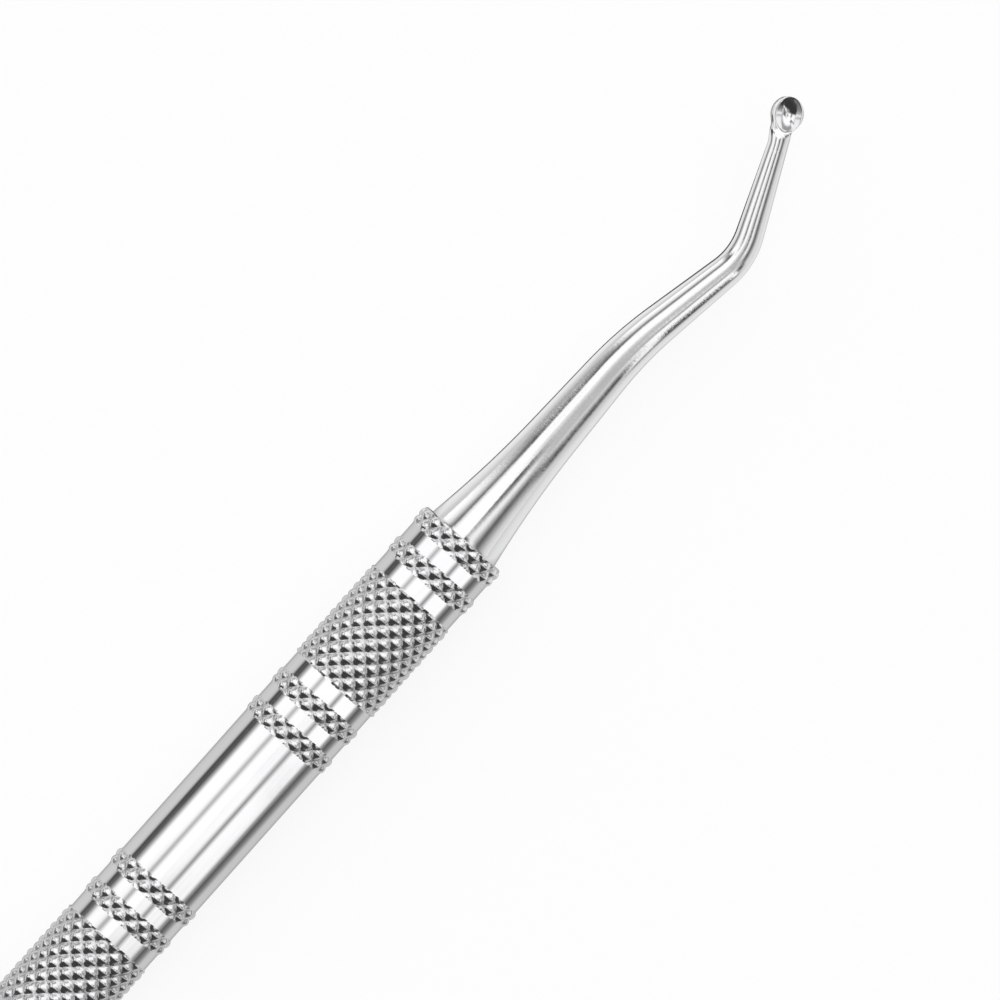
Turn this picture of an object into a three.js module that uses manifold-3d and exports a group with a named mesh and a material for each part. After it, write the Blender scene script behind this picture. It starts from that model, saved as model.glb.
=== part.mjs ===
// Double-ended spoon curette for ingrown nails: a knurled steel tube with a tapered, twice-bent
// working end pressed into each mouth. Millimetres. +X runs along the handle to the front spoon,
// +Y is the side that the front spoon leans to, +Z is up, and the tool lies on z = 0.

import * as THREE from 'three';
import { mergeVertices } from 'three/addons/utils/BufferGeometryUtils.js';
import Module from 'manifold-3d';

// Handle tube
const handleDiameter = 6.0;
const boreDiameter = 5.1;
const mouthChamfer = 0.12;
const endLand = 0.1;

// Rolled diamond knurling: crests stand above the plain tube and roots sink below it
const teethAround = 16;
const toothPitch = 1.077;
const crestRise = 0.17;
const rootDepth = 0.09;
const padColumns = 12;
const padRunOut = 0.61;
const ringColumns = 2;
const ringRunOut = 0.34;

// One grip unit is a pad between two pairs of rings, and units repeat along the handle
const unitCount = 4;
const unitSpacing = 27.94;
const nearRingOffset = 5.37;
const farRingOffset = 7.68;

// Working end: a tang in the bore, then a flared cone bent away from the axis and back across it
const pressFitGap = 0.02;
const tangLength = 12;
const tangChamfer = 0.4;
const coneRootDiameter = 4.0;
const neckDiameter = 1.12;
const flareLength = 8.4;
const rootReach = 15.55;
const rootAngle = 0.7;
const firstBendRun = 2.4;
const middleReach = 8.83;
const middleAngle = -9.65;
const secondBendRun = 1.5;
const tipReach = 9.07;
const tipAngle = 24.3;

// Spoon: an oval head ground flat on its face and scooped out
const headLength = 2.2;
const headAhead = 0.15;
const headWidth = 2.04;
const headDepth = 1.02;
const headTurn = 8;
const faceRise = 0.45;
const faceTilt = 2;
const faceLength = 2.5;
const faceStock = 0.04;
const heelLength = 2.6;
const heelWidth = 1.12;
const heelDepth = 0.44;
const heelBack = 0.95;
const heelLeft = 0.34;
const bowlLength = 2.14;
const bowlWidth = 1.6;
const bowlDepth = 0.55;
const bowlRight = 0.1;

// Fineness of the facets
const shankSides = 24;
const flareSections = 8;
const straightSections = 3;
const bendSections = 6;
const headSides = 28;
const headRows = 14;

const facetsAround = 2 * teethAround;
const facetAngle = (2 * Math.PI) / facetsAround;
const plainRadius = handleDiameter / 2;
const crestRadius = plainRadius + crestRise;
const rootRadius = plainRadius - rootDepth;
const boreRadius = boreDiameter / 2;
const tangRadius = boreRadius - pressFitGap;
const columnStep = toothPitch / 2;
const ringHalfWidth = ((ringColumns - 1) * columnStep) / 2 + ringRunOut;
const farUnitCentre = ((unitCount - 1) * unitSpacing) / 2;
const handleHalfLength = farUnitCentre + farRingOffset + ringHalfWidth + endLand;
const axisHeight = crestRadius * Math.cos(facetAngle / 2);
const shankLength = rootReach + middleReach + tipReach;

const wasm = await Module();
wasm.setup();

const tubeSteel = new THREE.MeshStandardMaterial({ color: 0xc9cbcd, roughness: 0.22, metalness: 1 });
const frontSteel = new THREE.MeshStandardMaterial({ color: 0xd0d2d4, roughness: 0.15, metalness: 1 });
const rearSteel = new THREE.MeshStandardMaterial({ color: 0xd0d2d4, roughness: 0.15, metalness: 1 });

function indexedGeometry(positions, triangles) {
  const geometry = new THREE.BufferGeometry();
  geometry.setAttribute('position', new THREE.Float32BufferAttribute(positions, 3));
  geometry.setIndex(triangles);
  return geometry;
}

function toSolid(geometry) {
  const bare = geometry.clone();
  bare.deleteAttribute('normal');
  bare.deleteAttribute('uv');
  const merged = mergeVertices(bare, 1e-5);
  const mesh = new wasm.Mesh({
    numProp: 3,
    vertProperties: new Float32Array(merged.attributes.position.array),
    triVerts: new Uint32Array(merged.index.array),
  });
  return new wasm.Manifold(mesh);
}

function fromSolid(solid) {
  const mesh = solid.getMesh();
  return indexedGeometry(Array.from(mesh.vertProperties), Array.from(mesh.triVerts));
}

// A row of the tube's skin: where it lies along the axis, whether teeth stand on it, and which
// column of its band it is, counted from the band's first toothed row
function plainRow(x, radius, column = 0) {
  return { x, radius, toothed: false, column };
}

function knurledBand(centre, columns, runOut) {
  const reach = ((columns - 1) * columnStep) / 2;
  const rows = [plainRow(centre - reach - runOut, plainRadius, -1)];
  for (let column = 0; column < columns; column += 1) {
    rows.push({ x: centre - reach + column * columnStep, radius: plainRadius, toothed: true, column });
  }
  rows.push(plainRow(centre + reach + runOut, plainRadius, columns));
  return rows;
}

function gripUnit(centre) {
  return [
    ...knurledBand(centre - farRingOffset, ringColumns, ringRunOut),
    ...knurledBand(centre - nearRingOffset, ringColumns, ringRunOut),
    ...knurledBand(centre, padColumns, padRunOut),
    ...knurledBand(centre + nearRingOffset, ringColumns, ringRunOut),
    ...knurledBand(centre + farRingOffset, ringColumns, ringRunOut),
  ];
}

// The rows run forward along the outside, round the front mouth and back along the bore
function tubeRows() {
  const rows = [
    plainRow(-handleHalfLength, plainRadius - mouthChamfer),
    plainRow(-handleHalfLength + mouthChamfer / 2, plainRadius),
  ];
  for (let unit = 0; unit < unitCount; unit += 1) {
    rows.push(...gripUnit(unit * unitSpacing - farUnitCentre));
  }
  rows.push(plainRow(handleHalfLength - mouthChamfer / 2, plainRadius));
  rows.push(plainRow(handleHalfLength, plainRadius - mouthChamfer));
  rows.push(plainRow(handleHalfLength, boreRadius));
  rows.push(plainRow(-handleHalfLength, boreRadius));
  return rows;
}

// Crests and roots alternate like a chequerboard, and every cell is split from root to root,
// so the roots join into two families of crossing helical grooves.
function isRoot(facet, column) {
  return (facet + column) % 2 === 0;
}

function handleTube() {
  const rows = tubeRows();
  const positions = [];
  rows.forEach((row) => {
    for (let facet = 0; facet < facetsAround; facet += 1) {
      const toothRadius = isRoot(facet, row.column) ? rootRadius : crestRadius;
      const radius = row.toothed ? toothRadius : row.radius;
      const angle = (facet + 0.5) * facetAngle;
      positions.push(row.x, radius * Math.cos(angle), radius * Math.sin(angle));
    }
  });
  const triangles = [];
  for (let index = 0; index < rows.length; index += 1) {
    const here = index * facetsAround;
    const next = ((index + 1) % rows.length) * facetsAround;
    for (let facet = 0; facet < facetsAround; facet += 1) {
      const after = (facet + 1) % facetsAround;
      if (isRoot(facet, rows[index].column)) {
        triangles.push(here + facet, here + after, next + after);
        triangles.push(here + facet, next + after, next + facet);
      } else {
        triangles.push(here + facet, here + after, next + facet);
        triangles.push(here + after, next + after, next + facet);
      }
    }
  }
  return indexedGeometry(positions, triangles);
}

function reach(from, length, degrees) {
  const angle = THREE.MathUtils.degToRad(degrees);
  return new THREE.Vector2(from.x + length * Math.cos(angle), from.y + length * Math.sin(angle));
}

const mouth = new THREE.Vector2(0, 0);
const firstBend = reach(mouth, rootReach, rootAngle);
const secondBend = reach(firstBend, middleReach, middleAngle);
const spoonCentre = reach(secondBend, tipReach, tipAngle);

// The centreline lies in the XY plane: straight runs joined by curved bends
function centreline() {
  const path = new THREE.Path();
  const flareEnd = reach(mouth, flareLength, rootAngle);
  const bendIn = reach(firstBend, -firstBendRun, rootAngle);
  const bendOut = reach(firstBend, firstBendRun, middleAngle);
  const crookIn = reach(secondBend, -secondBendRun, middleAngle);
  const crookOut = reach(secondBend, secondBendRun, tipAngle);
  path.moveTo(mouth.x, mouth.y);
  path.lineTo(flareEnd.x, flareEnd.y);
  path.lineTo(bendIn.x, bendIn.y);
  path.quadraticCurveTo(firstBend.x, firstBend.y, bendOut.x, bendOut.y);
  path.lineTo(crookIn.x, crookIn.y);
  path.quadraticCurveTo(secondBend.x, secondBend.y, crookOut.x, crookOut.y);
  path.lineTo(spoonCentre.x, spoonCentre.y);
  return path;
}

function shankRadius(along) {
  const cone = THREE.MathUtils.lerp(coneRootDiameter, neckDiameter, along / shankLength) / 2;
  const flare = (tangRadius - coneRootDiameter / 2) * Math.max(0, 1 - along / flareLength) ** 2;
  return cone + flare;
}

function shankSections() {
  const forward = new THREE.Vector2(1, 0);
  const sections = [
    { point: new THREE.Vector2(-tangLength, 0), forward, radius: tangRadius - tangChamfer },
    { point: new THREE.Vector2(-tangLength + tangChamfer, 0), forward, radius: tangRadius },
    { point: new THREE.Vector2(0, 0), forward, radius: tangRadius },
  ];
  let along = 0;
  centreline().curves.forEach((curve, index) => {
    const isBend = curve.isQuadraticBezierCurve === true;
    const onStraight = index === 0 ? flareSections : straightSections;
    const steps = isBend ? bendSections : onStraight;
    const length = curve.getLength();
    for (let step = 1; step <= steps; step += 1) {
      const share = step / steps;
      sections.push({
        point: curve.getPointAt(share),
        forward: curve.getTangentAt(share),
        radius: shankRadius(along + length * share),
      });
    }
    along += length;
  });
  return sections;
}

// Round sections square to the centreline, joined into a skin and closed at both ends
function shankGeometry() {
  const sections = shankSections();
  const positions = [];
  sections.forEach(({ point, forward, radius }) => {
    for (let side = 0; side < shankSides; side += 1) {
      const angle = (2 * Math.PI * (side + 0.5)) / shankSides;
      const across = radius * Math.cos(angle);
      positions.push(point.x - forward.y * across, point.y + forward.x * across, radius * Math.sin(angle));
    }
  });
  const triangles = [];
  for (let section = 0; section + 1 < sections.length; section += 1) {
    const here = section * shankSides;
    const next = here + shankSides;
    for (let side = 0; side < shankSides; side += 1) {
      const after = (side + 1) % shankSides;
      triangles.push(here + side, here + after, next + after);
      triangles.push(here + side, next + after, next + side);
    }
  }
  const last = (sections.length - 1) * shankSides;
  for (let side = 1; side + 1 < shankSides; side += 1) {
    triangles.push(0, side + 1, side);
    triangles.push(last, last + side, last + side + 1);
  }
  return indexedGeometry(positions, triangles);
}

// The spoon's own frame: origin on the ground face, x towards the tip, z out of the bowl
function intoSpoon(geometry) {
  geometry.rotateY(THREE.MathUtils.degToRad(faceTilt));
  geometry.rotateZ(THREE.MathUtils.degToRad(tipAngle + headTurn));
  geometry.translate(spoonCentre.x, spoonCentre.y, faceRise);
  return toSolid(geometry);
}

function oval(length, width, depth) {
  const ball = new THREE.SphereGeometry(1, headSides, headRows);
  ball.rotateX(Math.PI / 2);
  ball.scale(length / 2, width / 2, depth);
  return ball;
}

// The heel carries the neck's left side straight on into the head. The face cut is only as long as the
// face, so it takes nothing off the neck behind it. The bowl sits a little nearer the right-hand edge.
function workingEnd() {
  const head = oval(headLength, headWidth, headDepth).translate(headAhead, 0, -faceStock);
  const heel = oval(heelLength, heelWidth, heelDepth).translate(-heelBack, heelLeft, -faceRise);
  const faceCut = new THREE.BoxGeometry(faceLength, faceLength, faceLength);
  faceCut.translate(0, 0, faceLength / 2);
  const bowl = oval(bowlLength, bowlWidth, bowlDepth).translate(0, -bowlRight, 0);
  const blank = toSolid(shankGeometry()).add(intoSpoon(head)).add(intoSpoon(heel));
  return fromSolid(blank.subtract(intoSpoon(faceCut)).subtract(intoSpoon(bowl)));
}

// The other hand of a working end: every point goes through the mouth's centre to the far side
function otherHand(geometry) {
  const turned = geometry.clone().scale(-1, -1, -1);
  const index = turned.index.array;
  for (let corner = 0; corner < index.length; corner += 3) {
    const kept = index[corner + 1];
    index[corner + 1] = index[corner + 2];
    index[corner + 2] = kept;
  }
  return turned;
}

function piece(name, geometry, material, x) {
  const mesh = new THREE.Mesh(geometry, material);
  mesh.name = name;
  mesh.position.set(x, 0, axisHeight);
  return mesh;
}

const frontGeometry = workingEnd();
const curette = new THREE.Group();
curette.add(piece('handle_tube', handleTube(), tubeSteel, 0));
curette.add(piece('front_working_end', frontGeometry, frontSteel, handleHalfLength));
curette.add(piece('rear_working_end', otherHand(frontGeometry), rearSteel, -handleHalfLength));

export default curette;
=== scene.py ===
# %% [markdown]
# # A double-ended spoon curette
#
# The tool is a polished steel tube with rolled knurling, and in each mouth of the tube sits a slim
# bent shank that ends in a tiny scoop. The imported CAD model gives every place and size. This lesson
# lays a finer skin over it, finishes the steel and sets up the table and the light it is seen in.

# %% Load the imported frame
import math

import bmesh
import bpy
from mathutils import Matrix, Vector


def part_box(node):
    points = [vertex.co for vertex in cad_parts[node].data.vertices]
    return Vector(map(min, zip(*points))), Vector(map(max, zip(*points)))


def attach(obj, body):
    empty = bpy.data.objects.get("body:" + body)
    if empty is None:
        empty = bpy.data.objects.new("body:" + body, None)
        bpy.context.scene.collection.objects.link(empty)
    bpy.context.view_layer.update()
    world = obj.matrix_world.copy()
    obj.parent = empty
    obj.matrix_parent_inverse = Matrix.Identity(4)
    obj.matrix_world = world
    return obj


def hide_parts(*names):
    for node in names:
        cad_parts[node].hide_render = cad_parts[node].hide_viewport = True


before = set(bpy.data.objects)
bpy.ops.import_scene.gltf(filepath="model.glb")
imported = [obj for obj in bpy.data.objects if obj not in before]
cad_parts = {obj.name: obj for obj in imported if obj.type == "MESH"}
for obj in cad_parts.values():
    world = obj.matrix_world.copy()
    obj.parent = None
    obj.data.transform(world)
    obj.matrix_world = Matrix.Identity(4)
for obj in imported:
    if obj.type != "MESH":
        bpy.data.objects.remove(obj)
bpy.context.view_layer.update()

# %% [markdown]
# ## Sizes
#
# The handle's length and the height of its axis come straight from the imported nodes. The rest are the
# driving sizes of the tool, written once in millimetres and turned into metres, because Blender's
# unit here is the metre.

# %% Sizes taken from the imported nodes
MM = 0.001
handle_low, handle_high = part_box("handle_tube")
half_length = handle_high.x
axis_height = (handle_low.z + handle_high.z) / 2
print("half length and axis height in mm:", round(half_length / MM, 3), round(axis_height / MM, 3))

# %% Driving sizes of the handle
plain_radius = 3.0 * MM
bore_radius = 2.55 * MM
mouth_chamfer = 0.12 * MM
teeth_around = 16
tooth_pitch = 1.077 * MM
crest_rise = 0.17 * MM
root_depth = 0.09 * MM
pad_columns = 12
pad_run_out = 0.61 * MM
ring_columns = 2
ring_run_out = 0.34 * MM
plain_margin = 0.05 * MM
unit_count = 4
unit_spacing = 27.94 * MM
near_ring_offset = 5.37 * MM
far_ring_offset = 7.68 * MM
print("tooth pitch round the tube in mm:", round(2 * math.pi * plain_radius / teeth_around / MM, 3))

# %% [markdown]
# ## Camera
#
# The tool is seen from straight above, running from the lower left corner to the upper right, with the
# near scoop in view and the far end out of frame. A very long lens keeps parallel edges parallel.

# %% Look straight down on the front half
view_width = 61.35 * MM
view_centre = Vector((53.55 * MM, -0.085 * MM, axis_height))
handle_slope = math.radians(48.28)
lens_length = 500.0
sensor_width = 36.0

lens = bpy.data.cameras.new("overhead_lens")
lens.lens = lens_length
lens.sensor_width = sensor_width
overhead = bpy.data.objects.new("overhead_camera", lens)
bpy.context.scene.collection.objects.link(overhead)
overhead.location = view_centre + Vector((0, 0, view_width * lens_length / sensor_width))
overhead.rotation_euler = (0, 0, -handle_slope)
bpy.context.scene.camera = overhead
bpy.context.scene.view_settings.view_transform = "Standard"
print("camera height in mm:", round(overhead.location.z / MM, 1))

# %% [markdown]
# ## Small helpers for node trees
#
# Light, finish and knurling are all drawn as node trees. `feed` links a socket or sets its value,
# `place` adds a node and feeds its inputs by name, `calc` adds one step of arithmetic, and
# `soft_step` eases from 0 to 1 between two values.

# %% Node helpers
def feed(tree, socket, value):
    if isinstance(value, bpy.types.NodeSocket):
        tree.links.new(value, socket)
    else:
        socket.default_value = value


def place(tree, kind, settings=None, **values):
    step = tree.nodes.new(kind)
    for name, setting in (settings or {}).items():
        setattr(step, name, setting)
    for name, value in values.items():
        feed(tree, step.inputs[name.replace("_", " ")], value)
    return step


def calc(tree, operation, *values):
    step = place(tree, "ShaderNodeMath", {"operation": operation})
    for socket, value in zip(step.inputs, values):
        feed(tree, socket, value)
    return step.outputs[0]


def soft_step(tree, value, start, end):
    fade = place(tree, "ShaderNodeMapRange", {"interpolation_type": "SMOOTHSTEP"},
                 Value=value, From_Min=start, From_Max=end)
    return fade.outputs["Result"]


print("helpers: feed, place, calc and soft_step")

# %% [markdown]
# ## Studio
#
# Polished steel has hardly any colour of its own: it shows the room. The room here is a pale tent sewn
# from panels. Each panel is a ramp of grey that runs from straight up (0 degrees) down past the
# horizon (90 degrees), and soft seams join the panels from the rear to the front on either side. A
# stretch of the tool shows the panels that it lies square to, so the handle and each stretch of the
# shank have bands of their own. At the rear the tent opens on a dark room, which shades the knurling
# and the wall of the bowl. Levels are written as they look on a screen, and a screen shows light to
# the power of about 1 / 2.2.

# %% Ramps of grey
screen_power = 2.2


def grey_ramp(tree, share, first, last, stops):
    ramp = place(tree, "ShaderNodeValToRGB", Fac=share)
    band = ramp.color_ramp
    while len(band.elements) > 1:
        band.elements.remove(band.elements[-1])
    for index, (at, level) in enumerate(stops):
        spot = (at - first) / (last - first)
        stop = band.elements[0] if index == 0 else band.elements.new(spot)
        stop.position = spot
        light = level**screen_power
        stop.color = (light, light, light, 1)
    return ramp.outputs["Color"]


print("half grey on a screen is this much light:", round(0.5**screen_power, 3))

# %% Panels of the tent
straight_ahead = ((0, 1.0), (58, 1.0), (72, 0.6), (97, 0.55))
left_rear = ((0, 0.9), (3, 1.0), (20, 1.0), (25, 0.8), (32, 0.25), (39, 0.8), (47, 0.96), (61, 1.0),
             (70, 0.85), (78, 0.62), (88, 0.45), (97, 0.42))
left_beside = ((0, 1.0), (19, 1.0), (28.5, 0.68), (38, 1.0), (67, 1.0), (76, 0.62), (84, 0.26),
               (90, 0.34))
left_shank = ((0, 0.76), (8, 0.79), (15, 0.97), (19, 1.0), (38, 1.0), (42.5, 0.92), (45.5, 0.46),
              (49, 0.28), (57, 0.42), (66, 0.55), (76, 0.63), (86, 0.76), (95, 0.8))
left_front = ((0, 0.94), (10, 1.0), (38, 1.0), (44, 0.88), (51, 0.36), (57, 0.62), (66, 0.88),
              (78, 1.0), (97, 1.0))
right_rear = ((0, 0.8), (26, 0.6), (33, 0.6), (43, 0.78), (50, 0.72), (56, 0.6), (62, 0.25),
              (68, 0.05), (75, 0.1), (81, 0.3), (90, 0.72), (97, 0.76))
right_beside = ((0, 1.0), (20, 1.0), (29.5, 0.52), (39, 1.0), (75, 1.0), (83, 0.6), (90, 0.42))
right_shank = ((0, 0.76), (10, 0.72), (20, 0.68), (31, 0.70), (42, 0.80), (48, 0.7), (54, 0.5),
               (63, 0.25), (68, 0.32), (76, 0.66), (83, 0.78), (95, 0.82))
right_front = ((0, 0.75), (4.5, 0.45), (11, 0.1), (16, 0.5), (23, 0.94), (29, 0.92), (37, 0.68),
               (46, 0.36), (51, 0.4), (60, 0.6), (73, 0.8), (88, 0.87), (97, 0.95))
rearward = ((-1, 1.0), (-0.28, 1.0), (-0.2, 0.85), (-0.1, 0.0), (1, 0.0))
up_the_rear = ((-1, 0.5), (-0.2, 0.5), (0, 0.55), (0.12, 0.5), (0.25, 0.28), (0.5, 0.22),
               (0.95, 0.22), (1, 0.5))
print("stops on the panels beside the handle:", len(left_beside), len(right_beside))

# %% Sew the panels together
studio = bpy.data.worlds.new("white_tent")
bpy.context.scene.world = studio
studio.use_nodes = True
room = studio.node_tree
room.nodes.clear()

direction = place(room, "ShaderNodeTexCoord").outputs["Generated"]
axes = place(room, "ShaderNodeSeparateXYZ", Vector=direction).outputs
from_zenith = calc(room, "DIVIDE", calc(room, "ARCCOSINE", axes["Z"]), math.pi)


def blend_colours(tree, share, first, second):
    mix = place(tree, "ShaderNodeMix", {"data_type": "RGBA"})
    feed(tree, mix.inputs["Factor"], share)
    feed(tree, mix.inputs[6], first)
    feed(tree, mix.inputs[7], second)
    return mix.outputs[2]


def sew(first, *others):
    side = grey_ramp(room, from_zenith, 0, 180, first)
    for start, end, levels in others:
        panel = grey_ramp(room, from_zenith, 0, 180, levels)
        side = blend_colours(room, soft_step(room, axes["X"], start, end), side, panel)
    return side


left_side = sew(left_rear,
                (-0.07, -0.03, left_beside),
                (0.03, 0.055, left_shank),
                (0.11, 0.18, left_front),
                (0.30, 0.45, straight_ahead))
right_side = sew(right_rear,
                 (-0.062, -0.04, right_beside),
                 (0.03, 0.055, right_shank),
                 (0.12, 0.17, right_front),
                 (0.50, 0.60, straight_ahead))
ridge_half = 0.03
on_left = soft_step(room, axes["Y"], -ridge_half, ridge_half)
tent = blend_colours(room, on_left, right_side, left_side)
print("room nodes so far:", len(room.nodes))

# %% Open the rear and light the room
left_lean = 0.45
side_lift = 0.35
tent_glow = 1.17

leftward = calc(room, "MAXIMUM", axes["Y"], 0.0)
forward = calc(room, "MULTIPLY_ADD", leftward, left_lean, axes["X"])
aside = calc(room, "ABSOLUTE", axes["Y"])
upward = calc(room, "MULTIPLY_ADD", aside, side_lift, axes["Z"])
opening = grey_ramp(room, calc(room, "MULTIPLY_ADD", forward, 0.5, 0.5), -1, 1, rearward)
dark_room = grey_ramp(room, calc(room, "MULTIPLY_ADD", upward, 0.5, 0.5), -1, 1, up_the_rear)
surroundings = blend_colours(room, opening, tent, dark_room)
rays = place(room, "ShaderNodeLightPath").outputs
glow = place(room, "ShaderNodeBackground", Color=surroundings, Strength=tent_glow)
backdrop = place(room, "ShaderNodeBackground", Color=(1, 1, 1, 1), Strength=1.0)
seen = place(room, "ShaderNodeMixShader", Fac=rays["Is Camera Ray"])
room.links.new(glow.outputs[0], seen.inputs[1])
room.links.new(backdrop.outputs[0], seen.inputs[2])
sky = place(room, "ShaderNodeOutputWorld")
room.links.new(seen.outputs[0], sky.inputs["Surface"])
print("room nodes:", len(room.nodes))

# %% [markdown]
# ## Table
#
# The table is a plain white sheet. Most of its white is its own glow, as on a light table, and the
# rest is ordinary paper that still takes the tool's soft shadow. In reflections the sheet shows
# painted shade instead: a painted grey pool, pale close by and darker further out from the handle, a
# painted shadow right under the tool, and a painted dark strip beside the shank.

# %% Lay the sheet
table_half = 700 * MM
sheet = bpy.data.meshes.new("white_sheet")
corners = [(-table_half, -table_half, 0), (table_half, -table_half, 0),
           (table_half, table_half, 0), (-table_half, table_half, 0)]
sheet.from_pydata(corners, [], [(0, 1, 2, 3)])
table = bpy.data.objects.new("white_sheet", sheet)
bpy.context.scene.collection.objects.link(table)
print("sheet side in mm:", round(2 * table_half / MM))

# %% The sheet as the steel shows it
# The steel sees painted shade on the sheet: grey ramps across the tool that darken further out.
painted_pool_half_mm = 60
mouth_fade = 2 * MM
painted_shadow_reach = 4 * MM

paper = bpy.data.materials.new("light_table_paper")
paper.use_nodes = True
tree = paper.node_tree
tree.nodes.clear()
where = place(tree, "ShaderNodeTexCoord").outputs["Object"]
spot = place(tree, "ShaderNodeSeparateXYZ", Vector=where).outputs
across = calc(tree, "MULTIPLY_ADD", spot["Y"], 0.5 / (painted_pool_half_mm * MM), 0.5)
painted_shade_by_handle = grey_ramp(tree, across, -painted_pool_half_mm, painted_pool_half_mm, (
    (-60, 0.36), (-42, 0.40), (-22, 0.48), (-15, 0.62), (-11, 0.75), (-5, 0.76), (5, 0.76),
    (11, 0.79), (22, 0.76), (30, 0.6), (45, 0.36), (60, 0.28)))
# Painted shadow: the stops near zero make a dark strip just beside the shank.
painted_shade_by_shank = grey_ramp(tree, across, -painted_pool_half_mm, painted_pool_half_mm, (
    (-60, 0.80), (-22, 0.84), (-5, 0.88), (0, 0.7), (1, 0.3), (3.3, 0.3), (4.4, 0.92),
    (11, 0.87), (22, 0.79), (60, 0.77)))
past_mouth = soft_step(tree, spot["X"], half_length, half_length + mouth_fade)
pool = blend_colours(tree, past_mouth, painted_shade_by_handle, painted_shade_by_shank)
# Painted shadow: an occlusion node darkens the grey pool right under and beside the tool.
painted_contact_shadow = place(tree, "ShaderNodeAmbientOcclusion", {"samples": 8}, Color=pool, Distance=painted_shadow_reach)
painted_reflection_glow = place(tree, "ShaderNodeEmission", Color=painted_contact_shadow.outputs["Color"], Strength=tent_glow)
print("grey pool round the tool in mm:", 2 * painted_pool_half_mm)

# %% The sheet as it is seen, and both together
paper_glow = 1.17
own_glow = 0.72

lit = place(tree, "ShaderNodeEmission", Color=(1, 1, 1, 1), Strength=paper_glow)
dull = place(tree, "ShaderNodeBsdfDiffuse", Color=(0.9, 0.9, 0.9, 1))
seen_sheet = place(tree, "ShaderNodeMixShader", Fac=own_glow)
tree.links.new(dull.outputs[0], seen_sheet.inputs[1])
tree.links.new(lit.outputs[0], seen_sheet.inputs[2])
rays = place(tree, "ShaderNodeLightPath").outputs
by_ray = place(tree, "ShaderNodeMixShader", Fac=rays["Is Glossy Ray"])
tree.links.new(seen_sheet.outputs[0], by_ray.inputs[1])
tree.links.new(painted_reflection_glow.outputs[0], by_ray.inputs[2])
surface = place(tree, "ShaderNodeOutputMaterial")
tree.links.new(by_ray.outputs[0], surface.inputs["Surface"])
sheet.materials.append(paper)
print("paper nodes:", len(tree.nodes))

# %% [markdown]
# ## Finishes shared by both steels
#
# Two things mark all the steel on this tool. The polishing wheel leaves hair-fine lines along its
# path, and handling leaves faint smears that dull the mirror in patches. Each is a node group with
# named inputs, so that the tube and the shanks can use the same effect at their own strength.

# %% A group for the polishing lines
def new_group(name, kind, inputs, outputs):
    group = bpy.data.node_groups.new(name, kind)
    for label, socket_type, value in inputs:
        socket = group.interface.new_socket(name=label, in_out="INPUT", socket_type=socket_type)
        if value is not None:
            socket.default_value = value
    for label, socket_type in outputs:
        group.interface.new_socket(name=label, in_out="OUTPUT", socket_type=socket_type)
    return group, place(group, "NodeGroupInput").outputs, place(group, "NodeGroupOutput").inputs


polish_group, given, result = new_group(
    "polishing_lines", "ShaderNodeTree",
    (("Lines Along", "NodeSocketVector", (60.0, 2600.0, 2600.0)), ("Fineness", "NodeSocketFloat", 1.0)),
    (("Height", "NodeSocketFloat"), ("Line Mask", "NodeSocketFloat")))
where = place(polish_group, "ShaderNodeTexCoord").outputs["Object"]
drawn_out = place(polish_group, "ShaderNodeVectorMath", {"operation": "MULTIPLY"})
feed(polish_group, drawn_out.inputs[0], where)
feed(polish_group, drawn_out.inputs[1], given["Lines Along"])
hairs = place(polish_group, "ShaderNodeTexNoise", Vector=drawn_out.outputs[0], Scale=given["Fineness"],
              Detail=4.0, Roughness=0.62)
feed(polish_group, result["Height"], hairs.outputs["Fac"])
feed(polish_group, result["Line Mask"], soft_step(polish_group, hairs.outputs["Fac"], 0.42, 0.72))
print("polishing group:", [item.name for item in polish_group.interface.items_tree])

# %% A group for the smears of handling
smear_group, given, result = new_group(
    "handling_smears", "ShaderNodeTree",
    (("Patch Size", "NodeSocketFloat", 4 * MM), ("Cover", "NodeSocketFloat", 0.5)),
    (("Smear Mask", "NodeSocketFloat"), ("Tone", "NodeSocketFloat")))
where = place(smear_group, "ShaderNodeTexCoord").outputs["Object"]
patch_scale = calc(smear_group, "DIVIDE", 1.0, given["Patch Size"])
patches = place(smear_group, "ShaderNodeTexNoise", Vector=where, Scale=patch_scale,
                Detail=5.0, Roughness=0.55)
edge = calc(smear_group, "SUBTRACT", 1.0, given["Cover"])
smeared = soft_step(smear_group, patches.outputs["Fac"],
                    calc(smear_group, "SUBTRACT", edge, 0.12), calc(smear_group, "ADD", edge, 0.18))
feed(smear_group, result["Smear Mask"], smeared)
tone_scale = calc(smear_group, "MULTIPLY", patch_scale, 0.4)
tone = place(smear_group, "ShaderNodeTexNoise", Vector=where, Scale=tone_scale, Detail=2.0)
feed(smear_group, result["Tone"], tone.outputs["Fac"])
print("smear group:", [item.name for item in smear_group.interface.items_tree])

# %% [markdown]
# ## Steel
#
# Both steels are the same bright stainless alloy. The tube is drawn, then rolled, so its lines run
# along it. The floors of the knurling are rougher and painted a darker grey, which is painted shade.
# The shanks are ground to their taper and keep a fine, even grain. `groove_depth` is an attribute that
# the knurling writes on the mesh: 0 on open steel and 1 at the bottom of a groove.

# %% Helpers for the steels
smear_dulling = 0.05


def use_group(tree, group, **values):
    return place(tree, "ShaderNodeGroup", {"node_tree": group}, **values).outputs


def start_steel(name):
    steel = bpy.data.materials.new(name)
    steel.use_nodes = True
    tree = steel.node_tree
    shader = tree.nodes["Principled BSDF"]
    shader.inputs["Metallic"].default_value = 1.0
    return steel, tree, shader


def bump(tree, shader, height, depth):
    relief = place(tree, "ShaderNodeBump", Height=height, Strength=1.0, Distance=depth)
    tree.links.new(relief.outputs["Normal"], shader.inputs["Normal"])


print("roughness that a full smear adds:", smear_dulling)

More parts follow.
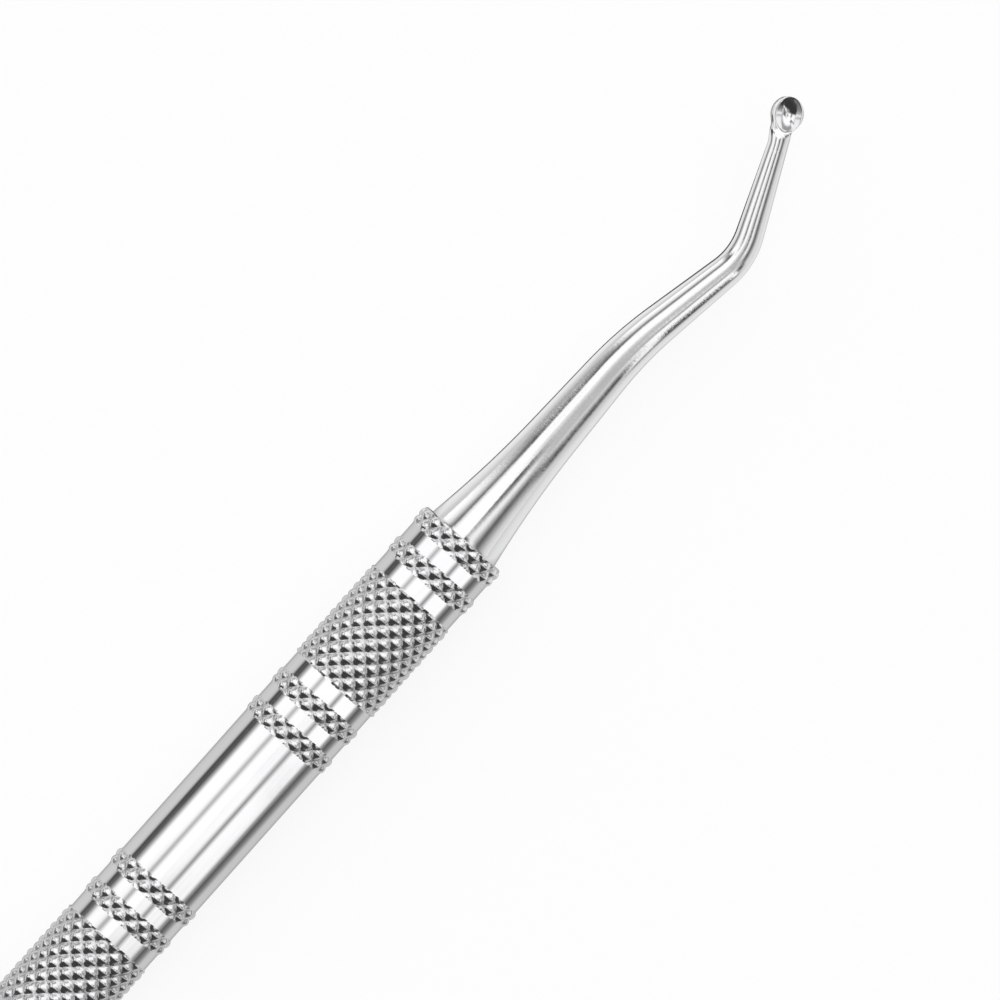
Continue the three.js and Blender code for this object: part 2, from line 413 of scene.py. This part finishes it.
# %% Steel for the tube
tube_tones = ((0.83, 0.835, 0.845, 1), (0.88, 0.88, 0.885, 1))
# Painted shade: a darker grey for the groove floors, standing in for the shade between the teeth.
painted_groove_shade = (0.68, 0.68, 0.69, 1)
tube_polish = 0.07
tube_line_dulling = 0.03
knurl_dulling = 0.12
groove_dulling = 0.06
tube_line_depth = 0.0006 * MM

tube_steel, tree, shader = start_steel("polished_tube_steel")
lines = use_group(tree, polish_group, Lines_Along=(120.0, 5200.0, 5200.0), Fineness=1.0)
smears = use_group(tree, smear_group, Patch_Size=5 * MM, Cover=0.42)
groove = place(tree, "ShaderNodeAttribute", {"attribute_name": "groove_depth"}).outputs["Fac"]
groove_shade_and_dull_mask = soft_step(tree, groove, 0.55, 1.0)
in_knurl = soft_step(tree, groove, 0.02, 0.1)
bright = blend_colours(tree, smears["Tone"], *tube_tones)
# Painted shade: the groove floors blend to the darker grey.
tube_colour = blend_colours(tree, groove_shade_and_dull_mask, bright, painted_groove_shade)
feed(tree, shader.inputs["Base Color"], tube_colour)
dulled = calc(tree, "MULTIPLY_ADD", smears["Smear Mask"], smear_dulling, tube_polish)
lined = calc(tree, "MULTIPLY_ADD", lines["Line Mask"], tube_line_dulling, dulled)
rolled_dull = calc(tree, "MULTIPLY_ADD", in_knurl, knurl_dulling, lined)
tube_roughness = calc(tree, "MULTIPLY_ADD", groove_shade_and_dull_mask, groove_dulling, rolled_dull)
feed(tree, shader.inputs["Roughness"], tube_roughness)
bump(tree, shader, lines["Height"], tube_line_depth)
print("tube steel nodes:", len(tree.nodes))

# %% Steel for the working ends
shank_tones = ((0.84, 0.845, 0.85, 1), (0.885, 0.885, 0.89, 1))
shank_polish = 0.085
shank_line_dulling = 0.04
shank_grain_depth = 0.003 * MM

shank_steel, tree, shader = start_steel("buffed_shank_steel")
lines = use_group(tree, polish_group, Lines_Along=(6000.0, 4500.0, 4500.0), Fineness=1.0)
smears = use_group(tree, smear_group, Patch_Size=3 * MM, Cover=0.45)
feed(tree, shader.inputs["Base Color"], blend_colours(tree, smears["Tone"], *shank_tones))
dulled = calc(tree, "MULTIPLY_ADD", smears["Smear Mask"], smear_dulling, shank_polish)
shank_roughness = calc(tree, "MULTIPLY_ADD", lines["Line Mask"], shank_line_dulling, dulled)
feed(tree, shader.inputs["Roughness"], shank_roughness)
bump(tree, shader, lines["Height"], shank_grain_depth)
print("shank steel nodes:", len(tree.nodes))

# %% [markdown]
# ## Knurling
#
# Two hard wheels with opposite helical teeth are pressed into the turning tube. Where their grooves
# cross, small square pyramids are left standing. They could be thousands of instanced pyramids, but
# rolled teeth share their valleys, so one skin is truer: a flat sheet is cut into fine cells, each
# point is lifted by how far it lies from the nearest valley, and the sheet is rolled up into a tube.

# %% A group that makes one knurled band
cells_a_facet = 5
facets_around = 2 * teeth_around
cells_around = facets_around * cells_a_facet
flat_top = 0.28
tooth_fade = 0.12 * MM
tooth_seed = 3.0

band_group, given, result = new_group(
    "knurled_band", "GeometryNodeTree",
    (("Columns", "NodeSocketInt", ring_columns), ("Tooth Pitch", "NodeSocketFloat", tooth_pitch),
     ("Plain Radius", "NodeSocketFloat", plain_radius), ("Crest Rise", "NodeSocketFloat", crest_rise),
     ("Root Depth", "NodeSocketFloat", root_depth), ("Run Out", "NodeSocketFloat", ring_run_out),
     ("Plain Margin", "NodeSocketFloat", plain_margin), ("Flat Top", "NodeSocketFloat", flat_top),
     ("Fade", "NodeSocketFloat", tooth_fade), ("Seed", "NodeSocketFloat", tooth_seed)),
    (("Band", "NodeSocketGeometry"),))


def band_calc(operation, *values):
    return calc(band_group, operation, *values)


column_step = band_calc("DIVIDE", given["Tooth Pitch"], 2.0)
cell = band_calc("DIVIDE", column_step, float(cells_a_facet))
steps_across = band_calc("SUBTRACT", given["Columns"], 1.0)
reach = band_calc("MULTIPLY", steps_across, band_calc("DIVIDE", column_step, 2.0))
half_band = band_calc("ADD", reach, given["Run Out"])
cells_each_way = band_calc("CEIL", band_calc("DIVIDE", half_band, cell))
half_flat = band_calc("MULTIPLY", band_calc("ADD", cells_each_way, 1.0), cell)
flat = place(band_group, "GeometryNodeMeshGrid",
             Size_X=band_calc("MULTIPLY", half_flat, 2.0), Size_Y=float(facets_around),
             Vertices_X=band_calc("MULTIPLY_ADD", cells_each_way, 2.0, 3.0),
             Vertices_Y=cells_around + 1)
print("cells round the tube:", cells_around)

# %% Where each point of the sheet lies
position = place(band_group, "GeometryNodeInputPosition").outputs[0]
at = place(band_group, "ShaderNodeSeparateXYZ", Vector=position).outputs
kept_x = band_calc("MAXIMUM", band_calc("MINIMUM", at["X"], half_band),
                   band_calc("MULTIPLY", half_band, -1.0))
last_cell = band_calc("MULTIPLY", band_calc("ADD", cells_each_way, 0.5), cell)
outermost = band_calc("GREATER_THAN", band_calc("ABSOLUTE", at["X"]), last_cell)
outward = band_calc("MULTIPLY", outermost, band_calc("SIGN", at["X"]))
along = band_calc("ADD", kept_x, band_calc("MULTIPLY", outward, given["Plain Margin"]))
column = band_calc("DIVIDE", band_calc("ADD", kept_x, reach), column_step)
facet = band_calc("ADD", at["Y"], float(teeth_around))
print("band group nodes so far:", len(band_group.nodes))

# %% Lift the teeth
ridge_softness = 0.7
lowest_crest = 0.88
crest_luck = 0.10
crest_softness = 0.4
valley_floor = 0.03
valley_softness = 0.06

row = band_calc("ADD", facet, 1.0)
first_helix = band_calc("ADD", row, column)
second_helix = band_calc("SUBTRACT", row, column)
from_crest = band_calc("SMOOTH_MAX", band_calc("PINGPONG", first_helix, 1.0),
                       band_calc("PINGPONG", second_helix, 1.0), ridge_softness)
first_tooth = band_calc("ROUND", band_calc("DIVIDE", first_helix, 2.0))
second_tooth = band_calc("ROUND", band_calc("DIVIDE", second_helix, 2.0))
both_teeth = band_calc("ADD", first_tooth, second_tooth)
tooth_id = place(band_group, "ShaderNodeCombineXYZ",
                 X=band_calc("FLOORED_MODULO", both_teeth, float(facets_around)),
                 Y=band_calc("SUBTRACT", first_tooth, second_tooth), Z=given["Seed"])
luck = place(band_group, "ShaderNodeTexWhiteNoise", {"noise_dimensions": "3D"},
             Vector=tooth_id.outputs[0])
flank = band_calc("DIVIDE", band_calc("SUBTRACT", 1.0, from_crest),
                  band_calc("SUBTRACT", 1.0, given["Flat Top"]))
crest_level = band_calc("MULTIPLY_ADD", luck.outputs["Value"], crest_luck, lowest_crest)
tooth = band_calc("SMOOTH_MIN", flank, crest_level, crest_softness)
tooth = band_calc("SMOOTH_MAX", tooth, valley_floor, valley_softness)
print("lowest and highest crest:", lowest_crest, lowest_crest + crest_luck)

# %% Roll the sheet up
sew_distance = 0.001 * MM

from_edge = band_calc("SUBTRACT", half_band, band_calc("ABSOLUTE", kept_x))
fade = band_calc("DIVIDE", from_edge, given["Fade"])
fade = band_calc("MINIMUM", band_calc("MAXIMUM", fade, 0.0), 1.0)
tooth_height = band_calc("ADD", given["Crest Rise"], given["Root Depth"])
relief = band_calc("SUBTRACT", band_calc("MULTIPLY", tooth, tooth_height), given["Root Depth"])
radius = band_calc("MULTIPLY_ADD", relief, fade, given["Plain Radius"])
turn = band_calc("MULTIPLY", band_calc("ADD", facet, 1 / cells_a_facet), 2 * math.pi / facets_around)
rolled = place(band_group, "ShaderNodeCombineXYZ", X=along,
               Y=band_calc("MULTIPLY", radius, band_calc("COSINE", turn)),
               Z=band_calc("MULTIPLY", radius, band_calc("SINE", turn)))
groove_depth = band_calc("MULTIPLY", fade, band_calc("SUBTRACT", 1.0, tooth))
noted = place(band_group, "GeometryNodeStoreNamedAttribute", {"data_type": "FLOAT", "domain": "POINT"},
              Geometry=flat.outputs["Mesh"], Name="groove_depth", Value=groove_depth)
tube = place(band_group, "GeometryNodeSetPosition", Geometry=noted.outputs[0],
             Position=rolled.outputs[0])
sewn = place(band_group, "GeometryNodeMergeByDistance", Geometry=tube.outputs[0],
             Distance=sew_distance)
feed(band_group, result["Band"], sewn.outputs[0])
print("band group nodes:", len(band_group.nodes))

# %% [markdown]
# ## The whole tube
#
# One grip unit is a knurled pad between two pairs of narrow rings. The same unit comes four times
# along the tube, with plain polished stretches between. A tree lays a unit out, repeats it on a line
# of points, and then turns the two open ends in: over a small chamfer, across the end face and back
# along the bore to the middle, where the two walls meet and are sewn together.

# %% Helpers that lay pieces out along the tube
handle_tree, given, result = new_group(
    "knurled_handle", "GeometryNodeTree",
    (("Geometry", "NodeSocketGeometry", None), ("Unit Count", "NodeSocketInt", unit_count),
     ("Unit Spacing", "NodeSocketFloat", unit_spacing),
     ("Near Ring Offset", "NodeSocketFloat", near_ring_offset),
     ("Far Ring Offset", "NodeSocketFloat", far_ring_offset),
     ("Pad Columns", "NodeSocketInt", pad_columns), ("Ring Columns", "NodeSocketInt", ring_columns),
     ("Half Length", "NodeSocketFloat", half_length),
     ("Plain Radius", "NodeSocketFloat", plain_radius),
     ("Bore Radius", "NodeSocketFloat", bore_radius),
     ("Mouth Chamfer", "NodeSocketFloat", mouth_chamfer),
     ("Axis Height", "NodeSocketFloat", axis_height), ("Steel", "NodeSocketMaterial", None)),
    (("Geometry", "NodeSocketGeometry"),))


def tube_calc(operation, *values):
    return calc(handle_tree, operation, *values)


def along_x(value):
    return place(handle_tree, "ShaderNodeCombineXYZ", X=value).outputs[0]


def repeat(piece, count, spacing):
    whole_run = tube_calc("MULTIPLY", tube_calc("SUBTRACT", count, 1.0), spacing)
    first = tube_calc("MULTIPLY", whole_run, -0.5)
    line = place(handle_tree, "GeometryNodeMeshLine", Count=count,
                 Start_Location=along_x(first), Offset=along_x(spacing))
    copies = place(handle_tree, "GeometryNodeInstanceOnPoints", Points=line.outputs[0], Instance=piece)
    return copies.outputs[0]


def gathered(*parts):
    join = place(handle_tree, "GeometryNodeJoinGeometry")
    for part in parts:
        handle_tree.links.new(part, join.inputs[0])
    return join.outputs[0]


print("inputs of the handle tree:", len(handle_tree.interface.items_tree) - 1)

# %% The pad, the ring and the plain sleeve
def plain_sleeve(length):
    wall = place(handle_tree, "GeometryNodeMeshCylinder", {"fill_type": "NONE"}, Vertices=cells_around,
                 Radius=given["Plain Radius"], Depth=length)
    laid = place(handle_tree, "GeometryNodeTransform", Geometry=wall.outputs["Mesh"],
                 Rotation=(0, math.pi / 2, 0))
    return laid.outputs[0]


def band(columns, run_out):
    step = place(handle_tree, "GeometryNodeGroup", {"node_tree": band_group},
                 Columns=columns, Run_Out=run_out)
    half_columns = tube_calc("DIVIDE", tube_calc("SUBTRACT", columns, 1.0), 2.0)
    half = tube_calc("MULTIPLY_ADD", half_columns, tooth_pitch / 2, run_out + plain_margin)
    return step.outputs["Band"], half


pad, pad_half = band(given["Pad Columns"], pad_run_out)
ring, ring_half = band(given["Ring Columns"], ring_run_out)
print("columns of teeth on a pad and a ring:", pad_columns, ring_columns)

# %% One grip unit, and the units along the tube
def sleeve_between(start, end):
    middle = tube_calc("DIVIDE", tube_calc("ADD", start, end), 2.0)
    sleeve = plain_sleeve(tube_calc("SUBTRACT", end, start))
    return repeat(sleeve, 2, tube_calc("MULTIPLY", middle, 2.0))


near, far = given["Near Ring Offset"], given["Far Ring Offset"]
unit_half = tube_calc("ADD", far, ring_half)
unit = gathered(pad,
                repeat(ring, 2, tube_calc("MULTIPLY", near, 2.0)),
                repeat(ring, 2, tube_calc("MULTIPLY", far, 2.0)),
                sleeve_between(pad_half, tube_calc("SUBTRACT", near, ring_half)),
                sleeve_between(tube_calc("ADD", near, ring_half), tube_calc("SUBTRACT", far, ring_half)))
spacing = given["Unit Spacing"]
gap_count = tube_calc("SUBTRACT", given["Unit Count"], 1.0)
plain_gap = plain_sleeve(tube_calc("SUBTRACT", spacing, tube_calc("MULTIPLY", unit_half, 2.0)))
last_unit = tube_calc("MULTIPLY", tube_calc("MULTIPLY", gap_count, spacing), 0.5)
shoulder = tube_calc("SUBTRACT", given["Half Length"], tube_calc("DIVIDE", given["Mouth Chamfer"], 2.0))
skin = gathered(repeat(unit, given["Unit Count"], spacing),
                repeat(plain_gap, gap_count, spacing),
                sleeve_between(tube_calc("ADD", last_unit, unit_half), shoulder))
loose = place(handle_tree, "GeometryNodeRealizeInstances", Geometry=skin)
joined_up = place(handle_tree, "GeometryNodeMergeByDistance", Geometry=loose.outputs[0],
                  Distance=sew_distance)
skin = joined_up.outputs[0]
print("handle tree nodes so far:", len(handle_tree.nodes))

# %% Turn the mouths in and finish the tree
def turned_in(geometry, edges, new_x, new_radius):
    out = place(handle_tree, "GeometryNodeExtrudeMesh", {"mode": "EDGES"}, Mesh=geometry,
                Selection=edges, Offset_Scale=0.0)
    position = place(handle_tree, "GeometryNodeInputPosition").outputs[0]
    spot = place(handle_tree, "ShaderNodeSeparateXYZ", Vector=position).outputs
    squares = tube_calc("ADD", tube_calc("POWER", spot["Y"], 2.0), tube_calc("POWER", spot["Z"], 2.0))
    share = tube_calc("DIVIDE", new_radius, tube_calc("SQRT", squares))
    goal = place(handle_tree, "ShaderNodeCombineXYZ",
                 X=tube_calc("MULTIPLY", tube_calc("SIGN", spot["X"]), new_x),
                 Y=tube_calc("MULTIPLY", spot["Y"], share),
                 Z=tube_calc("MULTIPLY", spot["Z"], share))
    moved = place(handle_tree, "GeometryNodeSetPosition", Geometry=out.outputs["Mesh"],
                  Selection=out.outputs["Top"], Position=goal.outputs[0])
    return moved.outputs[0], out.outputs["Top"]


faces_beside = place(handle_tree, "GeometryNodeInputMeshEdgeNeighbors").outputs[0]
open_edge = place(handle_tree, "FunctionNodeCompare", {"data_type": "INT", "operation": "EQUAL"})
feed(handle_tree, open_edge.inputs[2], faces_beside)
feed(handle_tree, open_edge.inputs[3], 1)
lip = tube_calc("SUBTRACT", given["Plain Radius"], given["Mouth Chamfer"])
skin, rim = turned_in(skin, open_edge.outputs[0], given["Half Length"], lip)
skin, rim = turned_in(skin, rim, given["Half Length"], given["Bore Radius"])
skin = turned_in(skin, rim, 0.0, given["Bore Radius"])[0]
closed = place(handle_tree, "GeometryNodeMergeByDistance", Geometry=skin, Distance=sew_distance)
lift = place(handle_tree, "ShaderNodeCombineXYZ", Z=given["Axis Height"])
raised = place(handle_tree, "GeometryNodeTransform", Geometry=closed.outputs[0],
               Translation=lift.outputs[0])
whole = place(handle_tree, "GeometryNodeRealizeInstances", Geometry=raised.outputs[0])
dressed = place(handle_tree, "GeometryNodeSetMaterial", Geometry=whole.outputs[0],
                Material=given["Steel"])
feed(handle_tree, result["Geometry"], dressed.outputs[0])
print("handle tree nodes:", len(handle_tree.nodes))

# %% [markdown]
# ## From tree to plain mesh
#
# The export keeps plain meshes only, so the tree is evaluated once and its result becomes the piece.
# A cell that lies across a valley is bent, and it has to be split along the valley and not across it,
# or the grooves would show a zigzag. The two deeper corners tell which way the valley runs.

# %% Evaluate the handle
def set_input(modifier, tree, name, value):
    for item in tree.interface.items_tree:
        if item.item_type == "SOCKET" and item.in_out == "INPUT" and item.name == name:
            modifier[item.identifier] = value


seed_mesh = bpy.data.meshes.new("handle_seed")
maker = bpy.data.objects.new("handle_maker", seed_mesh)
bpy.context.scene.collection.objects.link(maker)
modifier = maker.modifiers.new("knurled_handle", "NODES")
modifier.node_group = handle_tree
set_input(modifier, handle_tree, "Steel", tube_steel)
set_input(modifier, handle_tree, "Half Length", half_length)
set_input(modifier, handle_tree, "Axis Height", axis_height)
graph = bpy.context.evaluated_depsgraph_get()
handle_mesh = bpy.data.meshes.new_from_object(maker.evaluated_get(graph))
handle_mesh.name = "knurled_handle"
bpy.data.objects.remove(maker)
bpy.data.meshes.remove(seed_mesh)
print("handle cells:", len(handle_mesh.polygons))

# %% Split the cells along the grooves and keep the tooth edges crisp
crisp_angle = math.radians(40)


def finish_skin(mesh, depth_name=None):
    skin = bmesh.new()
    skin.from_mesh(mesh)
    depth = skin.verts.layers.float.get(depth_name) if depth_name else None
    if depth:
        for face in list(skin.faces):
            if len(face.verts) != 4:
                continue
            first, second, third, fourth = face.verts
            if first[depth] + third[depth] >= second[depth] + fourth[depth]:
                bmesh.utils.face_split(face, first, third)
            else:
                bmesh.utils.face_split(face, second, fourth)
    bmesh.ops.recalc_face_normals(skin, faces=skin.faces)
    for face in skin.faces:
        face.smooth = True
    for edge in skin.edges:
        edge.smooth = edge.calc_face_angle(0.0) < crisp_angle
    open_edges = sum(1 for edge in skin.edges if len(edge.link_faces) != 2)
    volume = skin.calc_volume(signed=True)
    skin.to_mesh(mesh)
    skin.free()
    return open_edges, volume


open_edges, volume = finish_skin(handle_mesh, "groove_depth")
handle = bpy.data.objects.new("knurled_handle", handle_mesh)
bpy.context.scene.collection.objects.link(handle)
print("handle faces:", len(handle_mesh.polygons), "open edges:", open_edges)
print("handle volume in mm3:", round(volume / MM**3, 1))

# %% [markdown]
# ## Working ends
#
# Each working end is turned, bent and ground from one rod: a tang in the bore, a flare, a long taper
# with a gentle bend away from the axis and a sharper one back across it, and the scoop. A sweep with
# a bevel curve would do for the shank, but the scoop has to grow out of it, so the whole rod is one
# loft: a closed section is drawn at every station, with its lower half and upper half described apart.

# %% Driving sizes of a working end
tang_radius = 2.53 * MM
tang_length = 12 * MM
tang_chamfer = 0.4 * MM
cone_root_radius = 2.0 * MM
neck_radius = 0.56 * MM
flare_length = 8.4 * MM
root_reach, root_angle = 15.55 * MM, math.radians(0.7)
middle_reach, middle_angle = 8.83 * MM, math.radians(-9.65)
tip_reach, tip_angle = 9.07 * MM, math.radians(24.3)
first_bend_run = 2.4 * MM
second_bend_run = 1.5 * MM
shank_length = root_reach + middle_reach + tip_reach
head_half = 1.10 * MM
head_ahead = 0.15 * MM
head_half_width = 1.02 * MM
head_depth = 1.02 * MM
head_turn = math.radians(8)
face_rise = 0.45 * MM
face_tilt = math.radians(2)
rim_round = 0.045 * MM
left_round = 0.26 * MM
bowl_half = 1.10 * MM
bowl_ahead = 0.08 * MM
bowl_half_width = 0.80 * MM
bowl_depth = 0.55 * MM
bowl_right = 0.10 * MM
heel_half, heel_half_width = 1.30 * MM, 0.56 * MM
heel_back, heel_left = 0.95 * MM, 0.34 * MM


def ray(angle):
    return Vector((math.cos(angle), math.sin(angle)))


first_bend = root_reach * ray(root_angle)
second_bend = first_bend + middle_reach * ray(middle_angle)
scoop_centre = second_bend + tip_reach * ray(tip_angle)
print("scoop centre from the mouth in mm:", [round(value / MM, 3) for value in scoop_centre])

# %% Stations along the shank
def smooth(value, start, end):
    share = min(max((value - start) / (end - start), 0.0), 1.0)
    return share * share * (3 - 2 * share)


def shank_radius(along):
    cone = cone_root_radius + (neck_radius - cone_root_radius) * along / shank_length
    flare = (tang_radius - cone_root_radius) * max(0.0, 1 - along / flare_length) ** 2
    return cone + flare


def straight(start, end, steps):
    return [start.lerp(end, step / steps) for step in range(1, steps + 1)]


def curved(start, corner, end, steps):
    shares = [step / steps for step in range(1, steps + 1)]
    return [start.lerp(corner, share).lerp(corner.lerp(end, share), share) for share in shares]


neck_end = 2.3 * MM
bend_in = first_bend - first_bend_run * ray(root_angle)
bend_out = first_bend + first_bend_run * ray(middle_angle)
crook_in = second_bend - second_bend_run * ray(middle_angle)
crook_out = second_bend + second_bend_run * ray(tip_angle)
neck_point = scoop_centre - neck_end * ray(tip_angle)
path = [Vector((0, 0))]
path += straight(path[-1], flare_length * ray(root_angle), steps=28)
path += straight(path[-1], bend_in, steps=8)
path += curved(bend_in, first_bend, bend_out, steps=22)
path += straight(bend_out, crook_in, steps=8)
path += curved(crook_in, second_bend, crook_out, steps=26)
path += straight(crook_out, neck_point, steps=14)
print("stations on the shank:", len(path))

# %% A section: half width, widest height, floor and top of every station
lower_points = 44
upper_points = 76


def lower_curve(half_width, widest, floor):
    angles = [math.pi * step / lower_points for step in range(lower_points)]
    return [(half_width * math.cos(angle), widest + (floor - widest) * math.sin(angle))
            for angle in angles]


def upper_curve(half_width, top):
    angles = [math.pi * step / upper_points for step in range(upper_points)]
    return [(-half_width * math.cos(angle), top(-half_width * math.cos(angle), math.sin(angle)))
            for angle in angles]


def round_section(radius):
    return lower_curve(radius, 0.0, -radius) + upper_curve(radius, lambda across, rise: radius * rise)


def station(section, centre, angle):
    side = Vector((-math.sin(angle), math.cos(angle)))
    return [(centre.x - side.x * across, centre.y - side.y * across, height)
            for across, height in section]


rings = [station(round_section(tang_radius - tang_chamfer), Vector((-tang_length, 0)), 0.0),
         station(round_section(tang_radius), Vector((tang_chamfer - tang_length, 0)), 0.0)]
walked = 0.0
for index, point in enumerate(path):
    before, after = path[max(index - 1, 0)], path[min(index + 1, len(path) - 1)]
    heading = math.atan2(after.y - before.y, after.x - before.x)
    walked += (point - before).length
    rings.append(station(round_section(shank_radius(walked)), point, heading))
print("shank length walked in mm:", round(walked / MM, 2))

# %% [markdown]
# The scoop continues the same loft. Its outline is an oval: on the left a heel carries the neck's side
# straight on into it, and on the right a small fillet does. Its back is rounded, its face is ground
# flat with a softened rim, and a bowl is sunk into the face, a little nearer the right-hand edge.

# %% The oval, the turn and the bowl of the scoop
bowl_lip = 0.05 * MM
turn_start, turn_end = -2.2 * MM, -0.8 * MM


def joined(first, second, blend):
    gap = max(blend - abs(first - second), 0.0) / blend
    return max(first, second) + gap * gap * blend / 4


def bowl_floor(along, across):
    spread = math.hypot((along - bowl_ahead) / bowl_half, (across - bowl_right) / bowl_half_width)
    sunk = bowl_depth * (1 - spread**2)
    return -joined(sunk, 0.0, bowl_lip)


def swing_at(along):
    return tip_angle + head_turn * smooth(along, turn_start, turn_end)


def oval_at(along, half):
    return math.sqrt(max(1 - (along / half) ** 2, 0.0))


print("bowl floor below the face in mm:", round(bowl_floor(bowl_ahead, bowl_right) / MM, 3))

# %% Outline, back and face of the scoop
neck_fade_start, neck_fade_end = -0.1 * MM, 0.5 * MM
back_fade_start, back_fade_end = -0.2 * MM, 0.9 * MM
face_start, face_end = -1.45 * MM, -0.85 * MM
left_fillet = 0.2 * MM
right_fillet = 0.35 * MM
back_fillet = 0.25 * MM
smallest = 1e-9


def scoop_section(along):
    oval = oval_at(along - head_ahead, head_half)
    neck_radius_here = shank_radius(shank_length + along)
    neck = neck_radius_here * smooth(-along, neck_fade_start, neck_fade_end)
    lag = along * math.sin(swing_at(along) - tip_angle)
    lead = along * math.sin(tip_angle + head_turn - swing_at(along))
    heel = oval_at(along + heel_back, heel_half) * heel_half_width
    heel_side = heel + heel_left + lead if heel else 0.0
    left = right = head_half_width * oval
    if along < 0:
        left = joined(joined(left, neck - lag, left_fillet), heel_side, left_fillet)
        right = joined(right, neck + lag, right_fillet)
    half_width, shift = (left + right) / 2, (right - left) / 2
    opened = smooth(along, face_start, face_end)
    face = face_rise - along * math.tan(face_tilt)
    soften = min(rim_round, half_width / 2)
    widest = opened * (face - soften)
    back = face - head_depth * oval
    neck_back = neck_radius_here * smooth(-along, back_fade_start, back_fade_end)
    floor = -joined(-back, neck_back, back_fillet)

    def top(across, rise):
        rounding = soften if across > 0 else min(left_round, half_width / 2)
        into_rim = max(abs(across) - (half_width - rounding), 0.0) / max(rounding, smallest)
        rim_drop = soften + (rounding - soften) * into_rim
        rim_drop *= 1 - math.sqrt(max(1 - into_rim**2, 0.0))
        ground = face - rim_drop + bowl_floor(along, across + shift)
        return (1 - opened) * neck * rise + opened * ground

    outline = lower_curve(half_width, widest, floor) + upper_curve(half_width, top)
    return [(across + shift, height) for across, height in outline]


head_tip = head_ahead + head_half
scoop_steps = 84
for step in range(1, scoop_steps):
    along = -neck_end + (neck_end + head_tip) * math.sin(math.pi / 2 * step / scoop_steps)
    swing = swing_at(along)
    rings.append(station(scoop_section(along), scoop_centre + along * ray(swing), swing))
scoop_tip = scoop_centre + head_tip * ray(tip_angle + head_turn)
tip_height = face_rise - head_tip * math.tan(face_tilt) - rim_round / 2
print("sections in the loft:", len(rings))

# %% Skin the sections
def loft(name, mouth_x, hand):
    points = [point for ring in rings for point in ring]
    points.append((-tang_length, 0, 0))
    points.append((scoop_tip.x, scoop_tip.y, tip_height))
    around = lower_points + upper_points
    faces = []
    for here in range(0, (len(rings) - 1) * around, around):
        for side in range(around):
            after = (side + 1) % around
            faces.append((here + side, here + after, here + around + after, here + around + side))
    last = (len(rings) - 1) * around
    for side in range(around):
        after = (side + 1) % around
        faces.append((after, side, len(points) - 2))
        faces.append((last + side, last + after, len(points) - 1))
    mesh = bpy.data.meshes.new(name)
    placed = [(mouth_x + hand * x, hand * y, axis_height + hand * z) for x, y, z in points]
    mesh.from_pydata(placed, [], faces)
    open_edges, volume = finish_skin(mesh)
    mesh.materials.append(shank_steel)
    piece = bpy.data.objects.new(name, mesh)
    bpy.context.scene.collection.objects.link(piece)
    print(name, "faces:", len(mesh.polygons), "open edges:", open_edges)
    print(name, "volume in mm3:", round(volume / MM**3, 1))
    return piece


front_end = loft("front_scoop_shank", half_length, 1)
rear_end = loft("rear_scoop_shank", -half_length, -1)

# %% [markdown]
# ## Hand over
#
# Each new piece stands in for one CAD node and rides on the tool's only body.

# %% Ride and replace
for piece, node, slot in ((handle, "handle_tube", "handle_steel"),
                          (front_end, "front_working_end", "working_end_steel"),
                          (rear_end, "rear_working_end", "working_end_steel")):
    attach(piece, "root")
    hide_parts(node)
